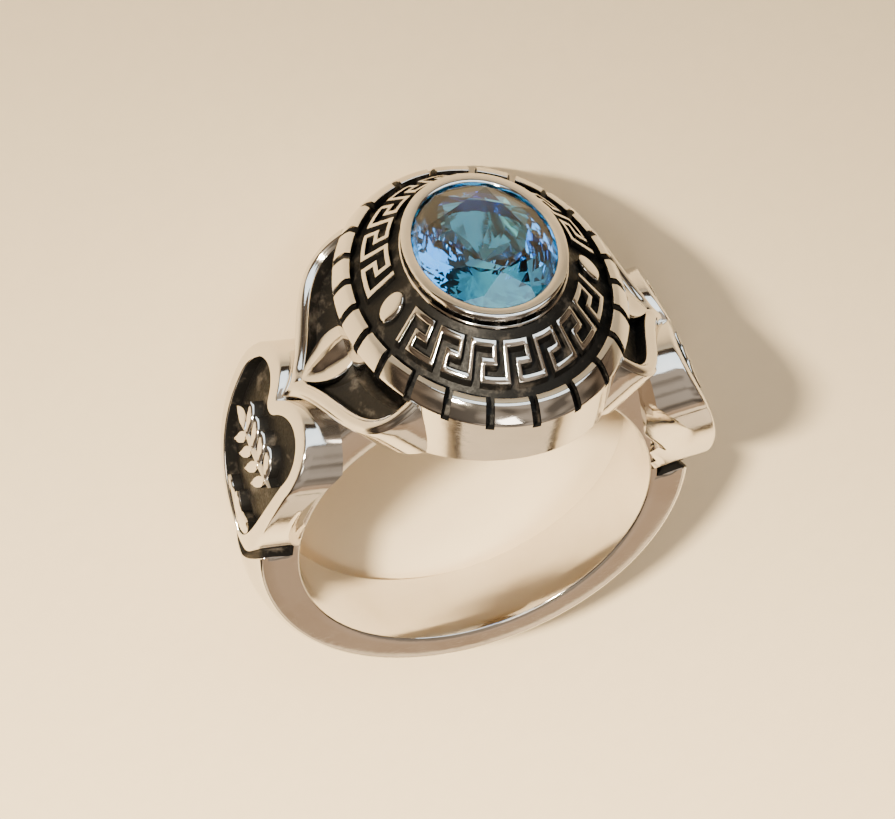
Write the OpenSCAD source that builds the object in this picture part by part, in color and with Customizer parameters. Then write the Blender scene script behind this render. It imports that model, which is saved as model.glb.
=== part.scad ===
// Class ring with an oval crest, heart side panels and a bezel-set stone.
// The ring lies on its side: finger hole nearly upright, crest towards -Y.
// The ring's own frame, used by every module below lie():
// x across the finger, y along the finger, z from the finger's centre to the crest.

/* [Finger hole] */
// Diameter of the finger hole
bore_d = 18; // [16:0.1:21]
// Steepness of the flare from the hole to the undersides of head and hearts, degrees
flare_angle = 50; // [40:1:60]
// Height of the head's lower edge above the top of the hole
head_clear = 2.4; // [1.6:0.1:3]

/* [Shank] */
// Width of the band at its back
shank_w = 4; // [3:0.1:5.5]
// Thickness of the band's edges at its back
shank_t = 1.6; // [1.2:0.1:2]
// Extra thickness of the band at its sides
shank_swell = 0.3; // [0.1:0.05:0.6]
// Height of the rounded outside above the band's edges
shank_crown = 0.6; // [0.2:0.05:0.8]
// Chamfer on the band's four long edges
shank_edge = 0.2; // [0.1:0.05:0.3]

/* [Crest] */
// Width of the crest across the finger
crest_w = 13.5; // [12.5:0.1:15]
// Length of crest and stone as a multiple of their width
oval_ratio = 1.225; // [1:0.005:1.3]
// Height of the rim above the top of the finger hole
rim_h = 5.95; // [5.4:0.05:6.6]
// Width of the rim's blocks
rim_w = 0.8; // [0.6:0.02:1]
// How far the crest's wall leans in from rim to underside
wall_lean = 0.65; // [0.3:0.05:1]
// Depth of the dark channel below the rim
channel_d = 0.65; // [0.4:0.05:0.9]
// Rise of the channel's floor from the rim to the stone's collar
channel_rise = 2.3; // [1.8:0.1:2.6]
// Number of notches round the rim
notch_n = 24; // [16:1:30]
// Width of a notch
notch_w = 0.4; // [0.26:0.02:0.54]
// How far a notch runs down the wall below the rim
notch_drop = 1.15; // [1:0.05:1.6]

/* [Ornament of the channel] */
// Height of the raised ornament above the channel's floor
relief_h = 0.5; // [0.3:0.05:0.7]
// Keys of the meander in the front arc
keys_front = 7; // [5:1:9]
// Keys of the meander in the back arc
keys_back = 9; // [6:1:11]
// Diameter of the two round studs between the arcs
stud_d = 1.1; // [0.8:0.05:1.4]
// How far the studs sit forward of the crest's middle, degrees
stud_turn = 12; // [4:1:18]
// Bare margin along both edges of the channel
channel_margin = 0.46; // [0.3:0.02:0.6]

/* [Bezel cup and stone] */
// Width of the stone at its girdle
stone_w = 6.9; // [6:0.1:7.4]
// Width of the stone's table
table_w = 3.9; // [3:0.1:4.6]
// Height of the stone's crown
crown_h = 0.85; // [0.6:0.05:1]
// Depth of the stone below its girdle
pavilion_h = 2.65; // [2:0.05:2.8]
// Thickness of the stone's girdle
girdle_t = 0.15; // [0.1:0.05:0.25]
// Wall of the collar at its top, measured from the girdle
collar_wall = 0.32; // [0.22:0.02:0.42]
// Height of the collar above the channel's floor
collar_h = 0.9; // [0.75:0.05:1.1]
// How far the lip covers the stone's edge
lip_cover = 0.18; // [0.12:0.02:0.24]
// Depth of the cup's skirt below the collar
skirt_h = 1.8; // [1.2:0.1:2]
// Width of the window that opens behind the stone
window_w = 4.8; // [3.6:0.1:5.2]
// Gap between cup, crest and stone
fit_gap = 0.03; // [0.02:0.01:0.05]

/* [Heart panels] */
// Width of a heart
heart_w = 8.6; // [8:0.1:9.4]
// Height of a heart from its tip to the top of its lobes
heart_h = 10.9; // [10.2:0.1:11.2]
// Distance of a heart's face from the finger hole's wall
heart_out = 2.05; // [1.75:0.05:2.4]
// Thickness of a heart's side wall
heart_t = 2.2; // [1.8:0.1:2.6]
// Lean of a heart's face towards the crest, degrees
heart_lean = 8; // [4:1:12]
// Bulge of a heart's face from cleft to tip
heart_bulge = 1.1; // [0.8:0.05:1.3]
// Fall of a heart's face from its middle to its sides
heart_fall = 0.3; // [0.15:0.05:0.6]
// Width of a heart's rim
heart_rim = 0.7; // [0.5:0.05:0.85]
// Width of the rim beside the heart's tip
heart_foot = 0.9; // [0.75:0.05:1.1]
// Depth of the ground inside the rim
heart_deep = 0.7; // [0.4:0.05:0.9]
// Height of the groove below a heart
groove_h = 0.8; // [0.5:0.05:1.1]
// Depth of that groove
groove_d = 0.45; // [0.3:0.05:0.6]

/* [Leaf panels] */
// Half width of a leaf panel
leaf_w = 6; // [5.2:0.05:6.2]
// Length of a leaf panel from its point to the crest
leaf_l = 6.2; // [5.6:0.1:6.6]
// Distance of the leaf panel's face from the finger hole's wall
leaf_out = 4.62; // [4.3:0.02:4.9]
// Slope of a leaf panel, degrees from upright
leaf_lean = 47; // [42:1:52]
// Thickness of a leaf panel's side wall
leaf_t = 3; // [2.4:0.1:3.3]
// Width of the wire round the leaf panel
wire_w = 0.74; // [0.5:0.02:0.9]
// Depth of the ground inside the wire
leaf_deep = 0.8; // [0.5:0.05:1]
// Half width of the folded bud
bud_w = 1.3; // [1:0.05:1.6]
// Length of the folded bud, whose upper part stands in the crest
bud_l = 4.2; // [3.6:0.1:5]
// Height of the bud's ridge above its ground, beside the crest
bud_h = 1.15; // [0.9:0.05:1.4]

/* [Hidden] */
$fn = 96;
EPS = 0.02;
FAR = 40;

bore_r = bore_d / 2;
half_w = shank_w / 2;
edge_r = bore_r + shank_t + shank_swell;
back_r = bore_r + shank_t;
crown_r = (half_w * half_w + shank_crown * shank_crown) / (2 * shank_crown);
under_r = bore_r + head_clear;

// Crest: radii are taken across the finger and stretched along it by oval_ratio.
rim_z = bore_r + rim_h;
rim_r = crest_w / 2;
channel_r = rim_r - rim_w;
floor_z = rim_z - channel_d;
seat_z = floor_z + channel_rise;
rim_top_r = channel_r + 0.3 * rim_w;
rim_top_z = rim_z - EPS;
rim_bevel_r = channel_r + 0.62 * rim_w;
rim_bevel_z = rim_z - 0.45 * rim_w;
side_z = rim_z - 1.1 * rim_w;
foot_sink = 0.5;
crest_foot_z = bore_r - foot_sink;

// Bezel cup
girdle_r = stone_w / 2;
collar_r = girdle_r + collar_wall;
foot_step = 0.05;
foot_r = collar_r + foot_step;
skirt_r = girdle_r + EPS;
lip_z = seat_z + collar_h;
lip_r = girdle_r - lip_cover;
girdle_z = lip_z - collar_h / 2;
table_z = girdle_z + girdle_t + crown_h;
culet_z = girdle_z - pavilion_h;
skirt_z = seat_z - skirt_h;
window_r = window_w / 2;

// Lying on its side the ring stands on the foot of the crest's wall and the band's edge.
stand_r = rim_r - wall_lean * (side_z - under_r) / (side_z - crest_foot_z);
tilt = atan((stand_r * oval_ratio - half_w) / (under_r + back_r - shank_edge));
rest_z = half_w * cos(tilt) + (back_r - shank_edge) * sin(tilt);
front_y = -(collar_r * oval_ratio * sin(tilt) + lip_z * cos(tilt));
back_y = (back_r + shank_crown - crown_r) * cos(tilt) + crown_r;

// Turns the ring's own frame into the lying one.
module lie() {
    translate([0, -(front_y + back_y) / 2, rest_z])
        rotate([-tilt, 0, 0])
            rotate([-90, 0, 180])
                children();
}

// Stretches round shapes of crest, cup and stone to the oval.
module oval() {
    scale([1, oval_ratio, 1]) children();
}

// Panel frame: x along the finger, y up the panel, z out of it.
module panel(lean, out) {
    rotate([0, -lean, 0])
        translate([out, 0, 0])
            rotate([90, 0, 90])
                children();
}

module both_sides() {
    children();
    mirror([1, 0, 0]) children();
}

// SHANK

// Section of the band, drawn inwards by inset: flat sides, chamfered edges, round outside.
module shank_2d(inset) {
    side = half_w - inset;
    inner = bore_r / 2;
    outer = edge_r + shank_crown;
    intersection() {
        polygon([
            [inner, -side],
            [edge_r - shank_edge - inset, -side],
            [edge_r - inset + shank_edge, -side + 1.5 * shank_edge],
            [outer, -side + 1.5 * shank_edge],
            [outer, side - 1.5 * shank_edge],
            [edge_r - inset + shank_edge, side - 1.5 * shank_edge],
            [edge_r - shank_edge - inset, side],
            [inner, side]
        ]);
        translate([outer - crown_r, 0]) circle(r = crown_r - inset);
    }
}

module shank(inset) {
    translate([0, 0, shank_swell])
        rotate([90, 0, 0])
            rotate_extrude()
                shank_2d(inset);
}

// The hole flares on both sides to the undersides of hearts and head.
module finger_hole() {
    flare_w = head_clear / tan(flare_angle);
    rotate([90, 0, 0])
        rotate_extrude()
            polygon([
                [0, -FAR / 2],
                [under_r, -FAR / 2],
                [under_r, -half_w - flare_w],
                [bore_r, -half_w],
                [bore_r, half_w],
                [under_r, half_w + flare_w],
                [under_r, FAR / 2],
                [0, FAR / 2]
            ]);
}

// CREST

module crest_body() {
    rotate_extrude()
        polygon([
            [0, crest_foot_z],
            [rim_r - wall_lean, crest_foot_z],
            [rim_r, side_z],
            [rim_bevel_r, rim_bevel_z],
            [rim_top_r, rim_top_z],
            [channel_r, rim_z],
            [channel_r, floor_z],
            [foot_r, seat_z],
            [0, seat_z]
        ]);
}

// A thin upright blade from the centre outwards, squeezed for the stretch.
module blade(angle, width) {
    across = width / 2 * [-sin(angle), cos(angle)];
    reach = 2 * rim_r * [cos(angle), sin(angle)];
    corners = [across, reach + across, reach - across, -across];
    linear_extrude(height = FAR)
        polygon([for (c = corners) [c.x, c.y / oval_ratio]]);
}

// The notches are cut through the rim and end bluntly in the crest's wall.
module notches() {
    bite = 0.28;
    intersection() {
        rotate_extrude()
            polygon([
                [channel_r - rim_w, floor_z],
                [channel_r + bite, floor_z - bite / 2],
                [rim_r - bite, rim_z - notch_drop],
                [2 * rim_r, rim_z - notch_drop],
                [2 * rim_r, rim_z + rim_h],
                [channel_r - rim_w, rim_z + rim_h]
            ]);
        union() {
            for (i = [0 : notch_n - 1])
                blade(90 + i * 360 / notch_n, notch_w);
        }
    }
}

// Layer of metal that lies on the channel's floor, into which ornament is cut.
module relief_layer(low, high) {
    rotate_extrude()
        polygon([
            [channel_r + EPS, floor_z + low],
            [channel_r + EPS, floor_z + high],
            [foot_r, seat_z + high],
            [foot_r, seat_z + low]
        ]);
}

// Running key: a path on a square grid, six steps long and four high.
key_path = [[0, 0], [0, 4], [4, 4], [4, 2], [2, 2], [2, 0]];
KEY_STEP = 6;
KEY_ROWS = 5;
HALF_STROKE = 0.36;

function key_run(n) = concat(
    [for (k = [0 : n - 1]) for (p = key_path) [p.x + k * KEY_STEP, p.y]],
    [[n * KEY_STEP, 0], [n * KEY_STEP, 4]]
);

function unit(v) = v / norm(v);
function left_of(v) = [-v.y, v.x];

// One side of the stroke along a path, half its width away from it.
function stroke_side(path, half) = [
    for (i = [0 : len(path) - 1])
        let (
            before = unit(path[max(i, 1)] - path[max(i, 1) - 1]),
            after = unit(path[min(i, len(path) - 2) + 1] - path[min(i, len(path) - 2)]),
            corner = before == after ? left_of(after) : left_of(before) + left_of(after)
        )
        path[i] + half * corner
];

function reversed(list) = [for (i = [len(list) - 1 : -1 : 0]) list[i]];

function stroke_outline(path) = concat(
    stroke_side(path, HALF_STROKE),
    reversed(stroke_side(path, -HALF_STROKE))
);

// Grid point to the channel: steps become an angle, rows a radius.
function in_channel(p, from, to, steps) =
    let (
        inner = foot_r + channel_margin,
        outer = channel_r - channel_margin,
        angle = from + (to - from) * (p.x + HALF_STROKE) / (steps + 2 * HALF_STROKE),
        radius = inner + (outer - inner) * (p.y + HALF_STROKE) / (KEY_ROWS - 1 + 2 * HALF_STROKE)
    )
    radius * [cos(angle), sin(angle)];

// Arc of n keys, spread to both sides of its middle angle.
module meander(n, middle, spread) {
    steps = n * KEY_STEP;
    outline = stroke_outline(key_run(n));
    linear_extrude(height = FAR)
        polygon([for (p = outline) in_channel(p, middle + spread, middle - spread, steps)]);
}

module stud(angle) {
    middle = (foot_r + channel_r) / 2;
    translate([middle * cos(angle), middle * sin(angle), 0])
        linear_extrude(height = FAR)
            polygon([for (a = [0 : 20 : 340]) stud_d / 2 * [cos(a), sin(a) / oval_ratio]]);
}

module channel_ornament() {
    root = 0.1;
    stud_room = 12;
    front = -90;
    back = 90;
    intersection() {
        relief_layer(-root, relief_h);
        union() {
            meander(keys_front, front, back - stud_turn - stud_room);
            meander(keys_back, back, back + stud_turn - stud_room);
            both_sides() stud(-stud_turn);
        }
    }
}

module crest() {
    oval() union() {
        difference() {
            crest_body();
            notches();
        }
        channel_ornament();
    }
}

// Stepped hole for the cup, and the window behind the stone.
module cup_hole() {
    oval() {
        translate([0, 0, skirt_z - fit_gap])
            cylinder(r = skirt_r + fit_gap, h = FAR);
        cylinder(r = window_r, h = FAR);
    }
}

// HEART PANELS

heart_face = bore_r + heart_out;
heart_low = -1.9;
// The band is cleared this far below and beside a heart's face.
heart_seat = 0.1;
tip_w = 0.26;
lobe_share = 0.28;
// Bend of a heart's side: share of its width and of its height
bend_x = 0.43;
bend_y = 0.21;
lobe_r = lobe_share * heart_w;
lobe_x = 0.5 * heart_w - lobe_r;
lobe_y = heart_low + heart_h - lobe_r;
cleft_y = lobe_y + sqrt(lobe_r * lobe_r - lobe_x * lobe_x);
LOBE_END = -15;
SIDE_STEPS = 14;

function arc(centre, r, from, to, n) = [
    for (i = [0 : n])
        let (a = from + (to - from) * i / n)
        centre + r * [cos(a), sin(a)]
];

// Right half of the heart: cleft, lobe, side, tip.
// It is drawn inwards by rim at the lobe, which changes to foot at the tip.
function heart_half(rim, foot) =
    let (
        from_cleft = atan2(cleft_y - lobe_y, -lobe_x),
        into_lobe = atan2(lobe_y - cleft_y, lobe_x),
        a = [lobe_x, lobe_y] + lobe_r * [cos(LOBE_END), sin(LOBE_END)],
        b = [bend_x * heart_w, heart_low + bend_y * heart_h],
        c = [tip_w, heart_low]
    )
    concat(
        rim > 0 ? arc([0, cleft_y], rim, -90, into_lobe, 3) : [],
        arc([lobe_x, lobe_y], lobe_r - rim, from_cleft, LOBE_END, 12),
        [
            for (i = [1 : SIDE_STEPS])
                let (
                    t = i / SIDE_STEPS,
                    s = 1 - t,
                    p = s * s * a + 2 * t * s * b + t * t * c,
                    run = s * (b - a) + t * (c - b),
                    q = p - (s * rim + t * foot) * left_of(unit(run))
                )
                if (q.x > tip_w - EPS) q
        ]
    );

module heart_2d(rim, foot) {
    half = heart_half(rim, foot);
    polygon(concat(half, [for (p = reversed(half)) [-p.x, p.y]]));
}

// Barrel that gives the heart's face its bulge and fall, sunk by depth.
module heart_dome(depth) {
    beyond_cleft = 0.5;
    chord = cleft_y - heart_low + beyond_cleft;
    bulge_r = (chord * chord / 4 + heart_bulge * heart_bulge) / (2 * heart_bulge);
    fall_r = heart_w * heart_w / (8 * heart_fall);
    translate([0, cleft_y - chord / 2, heart_bulge - bulge_r])
        rotate([0, 90, 0])
            rotate_extrude()
                intersection() {
                    translate([0, -heart_w]) square([bulge_r, 2 * heart_w]);
                    translate([bulge_r - depth - fall_r, 0]) circle(r = fall_r);
                }
}

// Pointed leaf, length l and width w, from the origin along +y.
module leaflet(l, w) {
    leaf_r = (l * l + w * w) / (4 * w);
    intersection() {
        translate([leaf_r - w / 2, l / 2]) circle(r = leaf_r);
        translate([w / 2 - leaf_r, l / 2]) circle(r = leaf_r);
    }
}

// Laurel sprig laid across the heart: where each leaf leaves the stem, and its turn.
sprig_leaves = [
    // share of the stem, turn in degrees
    [0, 52], [0, -52], [0.28, 52], [0.28, -52], [0.56, 52], [0.56, -52],
    [0.84, 52], [0.84, -52], [0.94, 0]
];
SPRAY_TURNS = [-38, 0, 38];

module sprig_2d() {
    stem_l = 0.4 * heart_w;
    leaf_long = 0.185 * heart_w;
    leaf_wide = 0.07 * heart_w;
    stem_w = 0.03 * heart_w;
    translate([-0.26 * heart_w, heart_low + 0.64 * heart_h])
        rotate(-90) {
            translate([-stem_w / 2, -2 * stem_w]) square([stem_w, stem_l]);
            for (leaf = sprig_leaves)
                translate([0, leaf[0] * stem_l])
                    rotate(leaf[1])
                        leaflet(leaf_long, leaf_wide);
        }
}

// Three leaves that stand in the ground's lower end.
module spray_2d() {
    for (turn = SPRAY_TURNS)
        translate([0, heart_low + 1.4 * heart_foot])
            rotate(turn)
                leaflet(0.23 * heart_h, 0.12 * heart_h);
}

module heart_plate() {
    panel(heart_lean, heart_face)
        intersection() {
            translate([0, 0, -heart_t])
                linear_extrude(height = 2 * heart_t)
                    heart_2d(0, 0);
            heart_dome(0);
        }
}

// Space above a heart's barrel sunk by depth, within the outline drawn in by rim and foot.
module heart_space(rim, foot, depth) {
    panel(heart_lean, heart_face)
        difference() {
            translate([0, 0, -heart_t])
                linear_extrude(height = 2 * heart_t)
                    heart_2d(rim, foot);
            heart_dome(depth);
        }
}

module heart_ornament() {
    below_rim = 0.12;
    panel(heart_lean, heart_face)
        intersection() {
            translate([0, 0, -2 * heart_deep])
                linear_extrude(height = 2 * heart_t) {
                    sprig_2d();
                    spray_2d();
                }
            heart_dome(below_rim);
        }
}

// Groove round the band below a heart, along the heart's pointed outline.
module heart_groove() {
    bore_lip = 0.35;
    difference() {
        panel(heart_lean, 0)
            linear_extrude(height = heart_face + heart_t)
                difference() {
                    intersection() {
                        translate([0, -groove_h]) heart_2d(0, 0);
                        translate([-0.7 * shank_w, heart_low - 2 * groove_h])
                            square([1.4 * shank_w, 2 * groove_h + 0.7 * shank_w]);
                    }
                    translate([0, -2 * EPS]) heart_2d(0, 0);
                }
        shank(groove_d);
        rotate([90, 0, 0])
            cylinder(r = bore_r + bore_lip, h = FAR, center = true);
    }
}

// LEAF PANELS

leaf_face = bore_r + leaf_out;
leaf_tip = -0.3;

// Half outline from the point to the crest, drawn inwards by inset.
function leaf_half(inset) =
    let (
        a = [0, 0],
        b = [0.236 * leaf_w, 0.38 * leaf_l],
        c = [1.08 * leaf_w, 0.29 * leaf_l],
        d = [0.975 * leaf_w, leaf_l],
        inner_tip = inset / sin(atan2(b.x, b.y))
    )
    concat(
        [[0, inner_tip]],
        [
            for (i = [1 : 12])
                let (
                    t = i / 12,
                    s = 1 - t,
                    p = s * s * s * a + 3 * s * s * t * b + 3 * s * t * t * c + t * t * t * d,
                    run = s * s * (b - a) + 2 * s * t * (c - b) + t * t * (d - c),
                    q = p + inset * left_of(unit(run))
                )
                if (q.x > 0.1 && q.y > inner_tip + 0.05) q
        ]
    );

module leaf_2d(inset, reach) {
    half = leaf_half(inset);
    last = half[len(half) - 1];
    side = concat(half, [[last.x, last.y + reach]]);
    translate([0, leaf_tip])
        polygon(concat(side, [for (p = reversed(side)) [-p.x, p.y]]));
}

// Folded bud: a pointed leaf under a ridge that rises from the wire's corner to the crest.
module bud() {
    bud_start = leaf_tip + leaf_half(wire_w)[0].y - 0.1;
    root = 0.3;
    edge_h = 0.5 * leaf_deep;
    wide = bud_w + root;
    rise = atan((bud_h - leaf_deep) / (0.6 * bud_l));
    intersection() {
        translate([0, bud_start, -leaf_deep - root])
            linear_extrude(height = 2 * leaf_t)
                leaflet(bud_l, 2 * bud_w);
        translate([0, bud_start, -leaf_deep])
            rotate([90 + rise, 0, 0])
                linear_extrude(height = FAR, center = true)
                    polygon([
                        [-wide, -2 * root], [wide, -2 * root], [wide, edge_h],
                        [0, leaf_deep], [-wide, edge_h]
                    ]);
    }
}

module leaf_panel() {
    panel(leaf_lean, leaf_face) {
        difference() {
            translate([0, 0, -leaf_t])
                linear_extrude(height = leaf_t)
                    leaf_2d(0, 0);
            translate([0, 0, -leaf_deep])
                linear_extrude(height = leaf_t)
                    leaf_2d(wire_w, 1);
        }
        bud();
    }
}

// NODES

module ring_body() {
    color("silver")
        lie()
            difference() {
                union() {
                    difference() {
                        union() {
                            difference() {
                                shank(0);
                                both_sides() heart_space(-heart_seat, -heart_seat, heart_seat);
                            }
                            both_sides() heart_plate();
                        }
                        both_sides() heart_space(heart_rim, heart_foot, heart_deep);
                    }
                    crest();
                    both_sides() {
                        heart_ornament();
                        leaf_panel();
                    }
                }
                finger_hole();
                cup_hole();
                both_sides() heart_groove();
            }
}

module bezel_cup() {
    seat_drop = pavilion_h / girdle_r;
    seat_in = 0.75;
    throat_r = girdle_r - seat_in;
    step_h = 0.2 * collar_h;
    lip_round = 0.06;
    lip_edge = 0.14;
    profile = [
        [throat_r, skirt_z],
        [skirt_r, skirt_z],
        [skirt_r, seat_z],
        [foot_r, seat_z],
        [foot_r, seat_z + step_h],
        [collar_r, seat_z + step_h + foot_step],
        [collar_r, lip_z - 2 * lip_round],
        [collar_r - lip_round, lip_z - lip_round / 3],
        [collar_r - 2 * lip_round, lip_z],
        [lip_r + lip_round, lip_z - lip_round / 3],
        [lip_r, lip_z - lip_round],
        [lip_r, lip_z - lip_edge],
        [girdle_r + fit_gap, girdle_z + girdle_t + 2 * fit_gap],
        [girdle_r + fit_gap, girdle_z - 2 * fit_gap],
        [throat_r, girdle_z - 2 * fit_gap - seat_in * seat_drop]
    ];
    color("gainsboro")
        lie()
            for (quarter = [0 : 3])
                oval()
                    rotate([0, 0, 90 * quarter])
                        rotate_extrude(angle = 90)
                            polygon(profile);
}

// STONE: table, stars, kites, upper girdle, girdle, lower girdle, pavilion.

function ring_of(n, r, z, turn) = [for (i = [0 : n - 1]) [r * cos(turn + i * 360 / n), r * sin(turn + i * 360 / n), z]];

module brilliant() {
    n = 8;
    half_turn = 180 / n;
    table_r = table_w / 2;
    top_z = girdle_z + girdle_t;
    kite_r = 0.5 * (table_r + girdle_r) + 0.2;
    kite_z = table_z + (top_z - table_z) * (kite_r * cos(half_turn) - table_r) / (girdle_r - table_r);
    lower_r = 0.32 * girdle_r;
    lower_z = culet_z + pavilion_h * lower_r * cos(half_turn) / girdle_r;
    points = concat(
        ring_of(n, table_r, table_z, 0),
        ring_of(n, kite_r, kite_z, half_turn),
        ring_of(2 * n, girdle_r, top_z, 0),
        ring_of(2 * n, girdle_r, girdle_z, 0),
        ring_of(n, lower_r, lower_z, half_turn),
        [[0, 0, culet_z]]
    );
    crown = n;
    top = 2 * n;
    low = 4 * n;
    pav = 6 * n;
    culet = 7 * n;
    faces = concat(
        [[for (i = [n - 1 : -1 : 0]) i]],
        [for (i = [0 : n - 1]) [i, (i + 1) % n, crown + i]],
        [for (i = [0 : n - 1]) [i, crown + i, top + 2 * i]],
        [for (i = [0 : n - 1]) [(i + 1) % n, top + (2 * i + 2) % (2 * n), crown + i]],
        [for (i = [0 : n - 1]) [crown + i, top + 2 * i + 1, top + 2 * i]],
        [for (i = [0 : n - 1]) [crown + i, top + (2 * i + 2) % (2 * n), top + 2 * i + 1]],
        [for (i = [0 : 2 * n - 1]) [top + i, top + (i + 1) % (2 * n), low + (i + 1) % (2 * n)]],
        [for (i = [0 : 2 * n - 1]) [top + i, low + (i + 1) % (2 * n), low + i]],
        [for (i = [0 : n - 1]) [pav + i, low + 2 * i, low + 2 * i + 1]],
        [for (i = [0 : n - 1]) [pav + i, low + 2 * i + 1, low + (2 * i + 2) % (2 * n)]],
        [for (i = [0 : n - 1]) [culet, low + 2 * i, pav + i]],
        [for (i = [0 : n - 1]) [culet, pav + i, low + (2 * i + 2) % (2 * n)]]
    );
    polyhedron(points = points, faces = faces);
}

module stone() {
    color("deepskyblue")
        lie()
            oval()
                brilliant();
}

ring_body();
bezel_cup();
stone();
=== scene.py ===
# Class ring: the visual pieces on the frame of the packed model.
# Shapes are worked out in millimetres in the ring's own frame:
# x across the finger, y along the finger, z from the finger's centre to the crest.

from types import SimpleNamespace

import bmesh
import bpy
import numpy as np
from bpy.props import FloatProperty, FloatVectorProperty, IntProperty, PointerProperty
from mathutils import Matrix


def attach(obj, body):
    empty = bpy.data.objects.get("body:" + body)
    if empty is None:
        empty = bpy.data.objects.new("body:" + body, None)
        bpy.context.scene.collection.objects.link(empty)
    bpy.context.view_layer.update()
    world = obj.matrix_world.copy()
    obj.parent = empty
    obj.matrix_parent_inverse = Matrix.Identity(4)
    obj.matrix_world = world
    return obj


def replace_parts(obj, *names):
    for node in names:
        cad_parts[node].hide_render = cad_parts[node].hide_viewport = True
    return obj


bl_info = {
    "name": "Class ring",
    "version": (1, 0, 0),
    "blender": (4, 5, 0),
    "location": "3D View > Sidebar > Class ring",
    "description": "Builds a silver class ring with an oval blue stone, lying on its side",
    "category": "Add Mesh",
}

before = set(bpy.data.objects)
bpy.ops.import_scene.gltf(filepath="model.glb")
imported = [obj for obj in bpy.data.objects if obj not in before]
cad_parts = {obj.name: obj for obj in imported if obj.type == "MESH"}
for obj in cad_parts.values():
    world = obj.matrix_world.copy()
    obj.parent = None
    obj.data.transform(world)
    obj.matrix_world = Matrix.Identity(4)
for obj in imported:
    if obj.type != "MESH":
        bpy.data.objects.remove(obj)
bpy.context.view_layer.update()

MM = 0.001
SILVER = 0
BLACK = 1
SIDES = {"left": -1, "right": 1}


def length(name, text, size):
    """A length property whose default is given in millimetres."""
    return FloatProperty(name=name, description=text, default=size * MM, min=0, unit="LENGTH")


def angle(name, text, degrees):
    """An angle property whose default is given in degrees."""
    return FloatProperty(name=name, description=text, default=np.radians(degrees), subtype="ANGLE")


def colour(name, text, rgb):
    """A colour property."""
    return FloatVectorProperty(
        name=name, description=text, default=rgb, size=3, min=0, max=1, subtype="COLOR"
    )


def whole(name, text, number, least=1):
    """A whole number property."""
    return IntProperty(name=name, description=text, default=number, min=least)


class BandSizes(bpy.types.PropertyGroup):
    """Finger hole, band and the grooves across it."""

    bore_d: length("Finger hole", "Diameter of the finger hole", 18)
    flare_angle: angle("Flare", "Steepness of the flare to the undersides", 50)
    head_clear: length("Head clearance", "Height of the undersides above the hole", 2.4)
    shank_w: length("Width", "Width of the band at its back", 4)
    shank_t: length("Edge thickness", "Thickness of the band's edges at its back", 1.6)
    shank_swell: length("Swell", "Extra thickness of the band at its sides", 0.3)
    shank_crown: length("Crown", "Height of the rounded outside above the edges", 0.6)
    shank_edge: length("Edge rounding", "Rounding of the outer edges", 0.2)
    bore_edge: length("Bore rounding", "Rounding of the edges of the hole", 0.09)
    groove_h: length("Groove height", "Height of the groove below a heart", 0.8)
    groove_d: length("Groove depth", "Depth of that groove", 0.45)


class CrestSizes(bpy.types.PropertyGroup):
    """Oval crest, notched rim and the ornament of the channel."""

    crest_w: length("Width", "Width of the crest across the finger", 13.5)
    oval_ratio: FloatProperty(
        name="Oval ratio", description="Length of crest and stone over their width", default=1.225
    )
    rim_h: length("Rim height", "Height of the rim above the finger hole", 5.95)
    rim_w: length("Rim width", "Width of the rim's blocks", 0.8)
    wall_lean: length("Wall lean", "How far the wall leans in to the underside", 0.65)
    channel_d: length("Channel depth", "Depth of the channel below the rim", 0.65)
    channel_rise: length("Channel rise", "Rise of the channel's floor to the collar", 2.3)
    notch_n: whole("Notches", "Number of notches round the rim", 24, 8)
    notch_w: length("Notch width", "Width of a notch", 0.4)
    notch_drop: length("Notch drop", "How far a notch runs down the wall", 1.15)
    relief_h: length("Relief", "Height of the raised ornament above the floor", 0.5)
    keys_front: whole("Front keys", "Keys of the meander's front arc", 7)
    keys_back: whole("Back keys", "Keys of the meander's back arc", 9)
    stud_d: length("Stud", "Diameter of the two round studs", 1.1)
    stud_turn: angle("Stud turn", "How far the studs sit forward of the middle", 12)
    channel_margin: length("Margin", "Bare margin along the channel's edges", 0.46)


class CupSizes(bpy.types.PropertyGroup):
    """Bezel cup and stone."""

    stone_w: length("Stone width", "Width of the stone at its girdle", 6.9)
    table_w: length("Table", "Width of the stone's table", 3.9)
    crown_h: length("Crown", "Height of the stone's crown", 0.85)
    pavilion_h: length("Pavilion", "Depth of the stone below its girdle", 2.65)
    girdle_t: length("Girdle", "Thickness of the stone's girdle", 0.15)
    collar_wall: length("Collar wall", "Wall of the collar beside the girdle", 0.32)
    collar_h: length("Collar height", "Height of the collar above the channel", 0.9)
    lip_cover: length("Lip", "How far the lip covers the stone's edge", 0.18)
    skirt_h: length("Skirt", "Depth of the cup's skirt below the collar", 1.8)
    window_w: length("Window", "Width of the window behind the stone", 4.8)
    fit_gap: length("Gap", "Gap between cup, crest and stone", 0.03)


class HeartSizes(bpy.types.PropertyGroup):
    """Heart panels on both sides of the band."""

    heart_w: length("Width", "Width of a heart", 8.6)
    heart_h: length("Height", "Height of a heart from tip to lobes", 10.9)
    heart_out: length("Distance", "Distance of the face from the hole's wall", 2.05)
    heart_t: length("Side wall", "Thickness of a heart's side wall", 2.2)
    heart_lean: angle("Lean", "Lean of the face towards the crest", 8)
    heart_bulge: length("Bulge", "Bulge of the face from cleft to tip", 1.1)
    heart_fall: length("Fall", "Fall of the face from its middle to its sides", 0.3)
    heart_rim: length("Rim", "Width of the rim", 0.7)
    heart_foot: length("Foot", "Width of the rim beside the tip", 0.9)
    heart_deep: length("Depth", "Depth of the ground inside the rim", 0.7)


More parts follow.
